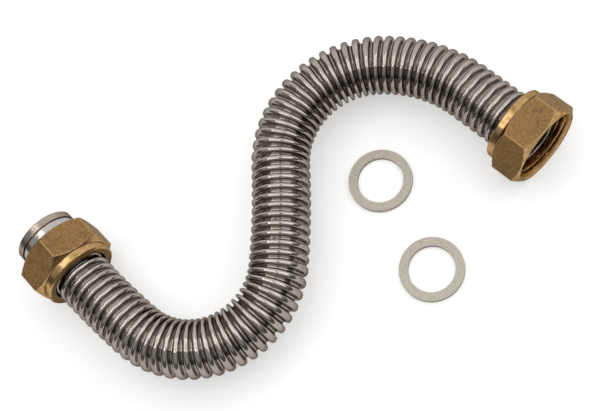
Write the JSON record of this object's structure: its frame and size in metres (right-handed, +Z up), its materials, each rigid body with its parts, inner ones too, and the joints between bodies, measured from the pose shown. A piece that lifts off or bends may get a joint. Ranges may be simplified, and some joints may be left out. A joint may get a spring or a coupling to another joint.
{
  "type": "corrugated boiler gas pipe",
  "caption": "S-bent corrugated stainless gas pipe with a turned sealing collar and a loose brass union nut on each end, and its flat gaskets.",
  "frame": {"origin": "under the middle of the part's box, on the surface that it lies on", "axes": "+X along the outlet end's axis and out of its bore, +Y from the inlet end to the outlet end, +Z up"},
  "size_m": [0.1318, 0.1752, 0.0346],
  "materials": {
    "stainless_tube": "satin, as formed",
    "turned_steel": "fine turned",
    "brass": "forged matte flats, turned collar and chamfers",
    "gasket_fibre": "matte compressed fibre"
  },
  "bodies": {
    "pipe": {"corrugated_tube": "stainless_tube", "inlet_collar": "turned_steel", "outlet_collar": "turned_steel", "inlet_gasket": "gasket_fibre", "outlet_gasket": "gasket_fibre"},
    "inlet_nut": {"inlet_union_nut": "brass"},
    "outlet_nut": {"outlet_union_nut": "brass"}
  },
  "joints": [
    {"name": "inlet_nut_turn", "type": "hinge", "parent": "pipe", "child": "inlet_nut", "pos_m": [-0.06488, -0.07064, 0.0173], "axis": [-0.996, 0.0889, 0], "continuous": true},
    {"name": "outlet_nut_turn", "type": "hinge", "parent": "pipe", "child": "outlet_nut", "pos_m": [0.05638, 0.07025, 0.015], "axis": [1, 0, 0], "continuous": true}
  ]
}
